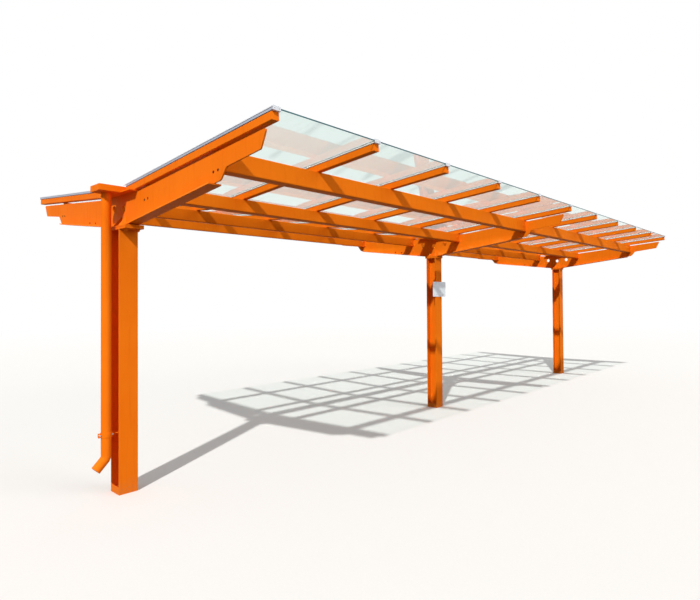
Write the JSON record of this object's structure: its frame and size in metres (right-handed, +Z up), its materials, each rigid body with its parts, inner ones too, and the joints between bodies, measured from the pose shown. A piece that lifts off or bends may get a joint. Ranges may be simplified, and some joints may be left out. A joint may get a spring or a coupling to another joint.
{
  "type": "bike shelter",
  "caption": "Open steel bike shelter: H-section columns in a row carry V-shaped cross arms, purlins and rafters under a butterfly roof of glass that drains to a valley gutter and downpipe.",
  "frame": {"origin": "centre of the middle column's foot, at ground level", "axes": "+X along the row of columns, away from the downpipe end; +Y towards the left wing; +Z up"},
  "size_m": [9.7485, 4.0996, 2.78],
  "materials": {
    "orange_paint": "satin orange powder coat",
    "glass": "clear laminated glass with a green edge",
    "gasket": "matt black gasket",
    "fixings": "stainless screws, bolts and nuts",
    "plate": "bare white notice plate",
    "bar": "mill finish extrusion",
    "cap": "mill finish"
  },
  "bodies": {
    "root": {"column_far": "orange_paint", "column_middle": "orange_paint", "column_near": "orange_paint", "cross_arm_far": "orange_paint", "cross_arm_middle": "orange_paint", "cross_arm_near": "orange_paint", "downpipe": "orange_paint", "glazing_bars_left": "bar", "glazing_bars_right": "bar", "glazing_caps_left": "cap", "glazing_caps_right": "cap", "pipe_clamp": "orange_paint", "purlin_left_inner_far_bay": "orange_paint", "purlin_left_inner_near_bay": "orange_paint", "purlin_left_outer_far_bay": "orange_paint", "purlin_left_outer_near_bay": "orange_paint", "purlin_right_inner_far_bay": "orange_paint", "purlin_right_inner_near_bay": "orange_paint", "purlin_right_outer_far_bay": "orange_paint", "purlin_right_outer_near_bay": "orange_paint", "rafter_left_01": "orange_paint", "rafter_left_02": "orange_paint", "rafter_left_03": "orange_paint", "rafter_left_04": "orange_paint", "rafter_left_05": "orange_paint", "rafter_left_06": "orange_paint", "rafter_left_07": "orange_paint", "rafter_left_08": "orange_paint", "rafter_left_09": "orange_paint", "rafter_left_10": "orange_paint", "rafter_left_11": "orange_paint", "rafter_right_01": "orange_paint", "rafter_right_02": "orange_paint", "rafter_right_03": "orange_paint", "rafter_right_04": "orange_paint", "rafter_right_05": "orange_paint", "rafter_right_06": "orange_paint", "rafter_right_07": "orange_paint", "rafter_right_08": "orange_paint", "rafter_right_09": "orange_paint", "rafter_right_10": "orange_paint", "rafter_right_11": "orange_paint", "roof_glass_left": "glass", "roof_glass_right": "glass", "valley_gutter": "orange_paint"}
  },
  "joints": []
}
